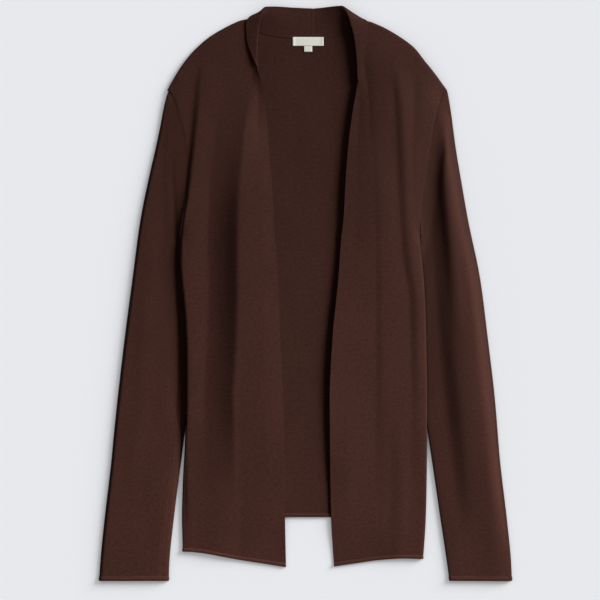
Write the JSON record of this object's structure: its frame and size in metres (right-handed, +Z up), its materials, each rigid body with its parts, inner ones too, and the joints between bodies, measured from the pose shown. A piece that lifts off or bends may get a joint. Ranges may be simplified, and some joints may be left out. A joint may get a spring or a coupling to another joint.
{
  "type": "knit sweater",
  "caption": "Open-front knit cardigan with a rolled shawl collar and long sleeves, laid flat with its front up.",
  "frame": {"origin": "middle of the bounding box in plan, on the surface that the garment lies on", "axes": "+Y from the hems up to the neck, +X to the right of the garment as seen from above, +Z up off the surface"},
  "size_m": [0.538, 0.7465, 0.0142],
  "materials": {
    "brown_knit": "fine plain knit, dark brown, matt with a faint soft sheen",
    "cream_label": "smooth woven tape, cream, bare"
  },
  "bodies": {
    "root": {"back": "brown_knit", "front_left": "brown_knit", "front_right": "brown_knit", "sleeve_left": "brown_knit", "sleeve_right": "brown_knit", "neck_label": "cream_label", "size_tab": "cream_label"}
  },
  "joints": []
}
